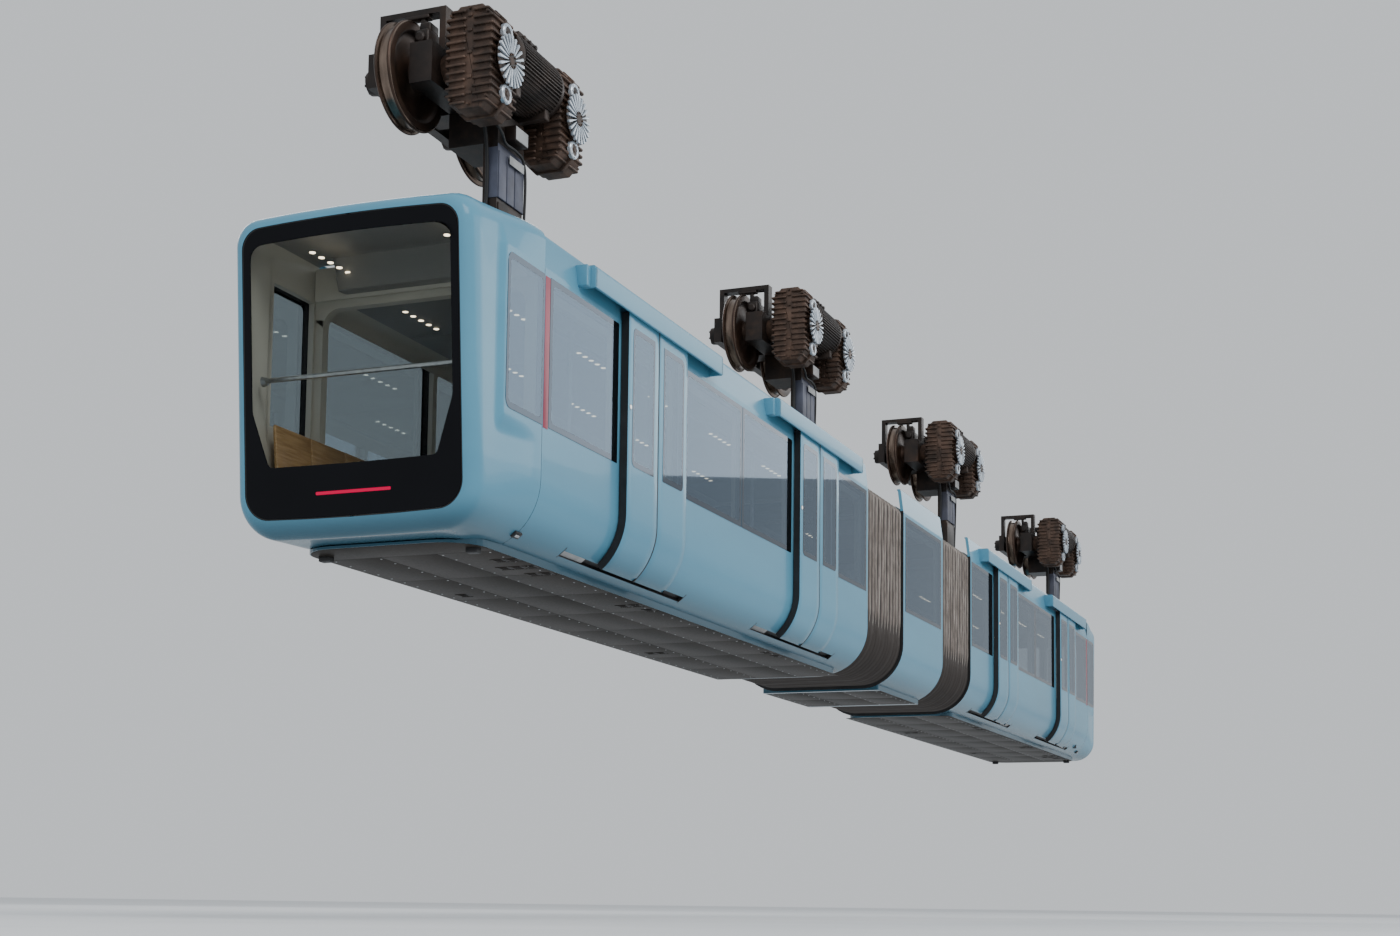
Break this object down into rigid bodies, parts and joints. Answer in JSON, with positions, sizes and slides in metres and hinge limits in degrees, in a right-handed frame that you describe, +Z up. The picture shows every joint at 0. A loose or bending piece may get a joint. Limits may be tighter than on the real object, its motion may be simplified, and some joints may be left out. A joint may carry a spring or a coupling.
{
  "type": "suspended articulated monorail car",
  "caption": "Suspended articulated monorail car: body sections with sliding doors, pleated bellows and motor bogies on hangers that run on an overhead rail.",
  "frame": {"origin": "top of the rail, above the middle of the car", "axes": "+Y along the car towards the cab end, +X towards the door side, +Z up"},
  "size_m": [2.322, 24.43, 4.362],
  "materials": {
    "body_paint": "glossy light blue paint over aluminium and moulded panels",
    "black_glass": "black-bordered end glass, clear in the middle",
    "tinted_glass": "dark tinted flush side glass",
    "tray_paint": "grey-beige underfloor tray, dusty",
    "bellows_fabric": "grey-brown coated fabric, pleated",
    "bogie_iron": "greasy dark brown cast iron",
    "gearbox_iron": "brown oily ribbed castings",
    "wheel_steel": "brown steel with a polished tread",
    "seat_shell": "moulded veneer shells",
    "handrail": "satin stainless tube",
    "cab_plastic": "dark grey moulded panels"
  },
  "bodies": {
    "middle_section": {"middle_body_shell": "body_paint", "middle_underfloor_tray": "tray_paint", "middle_window_door_side": "tinted_glass", "middle_window_plain_side": "tinted_glass", "rear_bellows": "bellows_fabric", "front_bellows": "bellows_fabric"},
    "rear_section": {"rear_body_shell": "body_paint", "rear_door_side_wall": "body_paint", "rear_underfloor_tray": "tray_paint", "rear_end_module": "body_paint", "rear_end_window": "black_glass", "rear_windows_door_side": "tinted_glass", "rear_windows_plain_side": "tinted_glass", "rear_seats_plain_side": "seat_shell", "rear_seats_door_side": "seat_shell", "rear_handrails": "handrail", "rear_window_bar": "handrail"},
    "rear_door_1_leaf_b": {"rear_door_1_leaf_b": "body_paint"},
    "rear_door_1_leaf_a": {"rear_door_1_leaf_a": "body_paint"},
    "rear_door_2_leaf_b": {"rear_door_2_leaf_b": "body_paint"},
    "rear_door_2_leaf_a": {"rear_door_2_leaf_a": "body_paint"},
    "rear_bogie_1": {"rear_bogie_1_frame": "bogie_iron", "rear_bogie_1_drive_unit": "gearbox_iron"},
    "rear_bogie_1_wheel_a": {"rear_bogie_1_wheel_a": "wheel_steel"},
    "rear_bogie_1_wheel_b": {"rear_bogie_1_wheel_b": "wheel_steel"},
    "rear_bogie_2": {"rear_bogie_2_frame": "bogie_iron", "rear_bogie_2_drive_unit": "gearbox_iron"},
    "rear_bogie_2_wheel_a": {"rear_bogie_2_wheel_a": "wheel_steel"},
    "rear_bogie_2_wheel_b": {"rear_bogie_2_wheel_b": "wheel_steel"},
    "front_section": {"front_body_shell": "body_paint", "front_door_side_wall": "body_paint", "front_underfloor_tray": "tray_paint", "front_end_module": "body_paint", "front_end_window": "black_glass", "front_windows_door_side": "tinted_glass", "front_windows_plain_side": "tinted_glass", "front_seats_plain_side": "seat_shell", "front_seats_door_side": "seat_shell", "front_handrails": "handrail", "cab_partition": "cab_plastic", "driver_desk": "cab_plastic", "driver_seat": "cab_plastic"},
    "front_door_1_leaf_b": {"front_door_1_leaf_b": "body_paint"},
    "front_door_1_leaf_a": {"front_door_1_leaf_a": "body_paint"},
    "front_door_2_leaf_b": {"front_door_2_leaf_b": "body_paint"},
    "front_door_2_leaf_a": {"front_door_2_leaf_a": "body_paint"},
    "front_bogie_1": {"front_bogie_1_frame": "bogie_iron", "front_bogie_1_drive_unit": "gearbox_iron"},
    "front_bogie_1_wheel_a": {"front_bogie_1_wheel_a": "wheel_steel"},
    "front_bogie_1_wheel_b": {"front_bogie_1_wheel_b": "wheel_steel"},
    "front_bogie_2": {"front_bogie_2_frame": "bogie_iron", "front_bogie_2_drive_unit": "gearbox_iron"},
    "front_bogie_2_wheel_a": {"front_bogie_2_wheel_a": "wheel_steel"},
    "front_bogie_2_wheel_b": {"front_bogie_2_wheel_b": "wheel_steel"}
  },
  "joints": [
    {"name": "rear_articulation", "type": "hinge", "parent": "middle_section", "child": "rear_section", "pos_m": [0, -1.71, -1.155], "axis": [0, 0, 1], "range_deg": [-15, 15], "deforming": ["rear_bellows"]},
    {"name": "rear_door_1_leaf_b_slide", "type": "slide", "parent": "rear_section", "child": "rear_door_1_leaf_b", "axis": [0, 1, 0], "range_m": [0, 0.62]},
    {"name": "rear_door_1_leaf_a_slide", "type": "slide", "parent": "rear_section", "child": "rear_door_1_leaf_a", "axis": [0, -1, 0], "range_m": [0, 0.62]},
    {"name": "rear_door_2_leaf_b_slide", "type": "slide", "parent": "rear_section", "child": "rear_door_2_leaf_b", "axis": [0, 1, 0], "range_m": [0, 0.62]},
    {"name": "rear_door_2_leaf_a_slide", "type": "slide", "parent": "rear_section", "child": "rear_door_2_leaf_a", "axis": [0, -1, 0], "range_m": [0, 0.62]},
    {"name": "rear_bogie_1_swivel", "type": "hinge", "parent": "rear_section", "child": "rear_bogie_1", "pos_m": [0, -10.757, -1.15], "axis": [0, 0, 1], "range_deg": [-20, 20]},
    {"name": "rear_bogie_1_wheel_a_spin", "type": "hinge", "parent": "rear_bogie_1", "child": "rear_bogie_1_wheel_a", "pos_m": [0, -11.367, 0.4], "axis": [1, 0, 0], "continuous": true},
    {"name": "rear_bogie_1_wheel_b_spin", "type": "hinge", "parent": "rear_bogie_1", "child": "rear_bogie_1_wheel_b", "pos_m": [0, -10.147, 0.4], "axis": [1, 0, 0], "continuous": true},
    {"name": "rear_bogie_2_swivel", "type": "hinge", "parent": "rear_section", "child": "rear_bogie_2", "pos_m": [0, -3.252, -1.15], "axis": [0, 0, 1], "range_deg": [-20, 20]},
    {"name": "rear_bogie_2_wheel_a_spin", "type": "hinge", "parent": "rear_bogie_2", "child": "rear_bogie_2_wheel_a", "pos_m": [0, -3.862, 0.4], "axis": [1, 0, 0], "continuous": true},
    {"name": "rear_bogie_2_wheel_b_spin", "type": "hinge", "parent": "rear_bogie_2", "child": "rear_bogie_2_wheel_b", "pos_m": [0, -2.642, 0.4], "axis": [1, 0, 0], "continuous": true},
    {"name": "front_articulation", "type": "hinge", "parent": "middle_section", "child": "front_section", "pos_m": [0, 1.71, -1.155], "axis": [0, 0, 1], "range_deg": [-15, 15], "deforming": ["front_bellows"]},
    {"name": "front_door_1_leaf_b_slide", "type": "slide", "parent": "front_section", "child": "front_door_1_leaf_b", "axis": [0, 1, 0], "range_m": [0, 0.62]},
    {"name": "front_door_1_leaf_a_slide", "type": "slide", "parent": "front_section", "child": "front_door_1_leaf_a", "axis": [0, -1, 0], "range_m": [0, 0.62]},
    {"name": "front_door_2_leaf_b_slide", "type": "slide", "parent": "front_section", "child": "front_door_2_leaf_b", "axis": [0, 1, 0], "range_m": [0, 0.62]},
    {"name": "front_door_2_leaf_a_slide", "type": "slide", "parent": "front_section", "child": "front_door_2_leaf_a", "axis": [0, -1, 0], "range_m": [0, 0.62]},
    {"name": "front_bogie_1_swivel", "type": "hinge", "parent": "front_section", "child": "front_bogie_1", "pos_m": [0, 10.757, -1.15], "axis": [0, 0, 1], "range_deg": [-20, 20]},
    {"name": "front_bogie_1_wheel_a_spin", "type": "hinge", "parent": "front_bogie_1", "child": "front_bogie_1_wheel_a", "pos_m": [0, 10.147, 0.4], "axis": [1, 0, 0], "continuous": true},
    {"name": "front_bogie_1_wheel_b_spin", "type": "hinge", "parent": "front_bogie_1", "child": "front_bogie_1_wheel_b", "pos_m": [0, 11.367, 0.4], "axis": [1, 0, 0], "continuous": true},
    {"name": "front_bogie_2_swivel", "type": "hinge", "parent": "front_section", "child": "front_bogie_2", "pos_m": [0, 3.252, -1.15], "axis": [0, 0, 1], "range_deg": [-20, 20]},
    {"name": "front_bogie_2_wheel_a_spin", "type": "hinge", "parent": "front_bogie_2", "child": "front_bogie_2_wheel_a", "pos_m": [0, 2.642, 0.4], "axis": [1, 0, 0], "continuous": true},
    {"name": "front_bogie_2_wheel_b_spin", "type": "hinge", "parent": "front_bogie_2", "child": "front_bogie_2_wheel_b", "pos_m": [0, 3.862, 0.4], "axis": [1, 0, 0], "continuous": true}
  ],
  "couplings": [
    {"joint": "rear_door_1_leaf_a_slide", "follows": "rear_door_1_leaf_b_slide", "ratio": 1},
    {"joint": "rear_door_2_leaf_a_slide", "follows": "rear_door_2_leaf_b_slide", "ratio": 1},
    {"joint": "front_door_1_leaf_a_slide", "follows": "front_door_1_leaf_b_slide", "ratio": 1},
    {"joint": "front_door_2_leaf_a_slide", "follows": "front_door_2_leaf_b_slide", "ratio": 1}
  ]
}
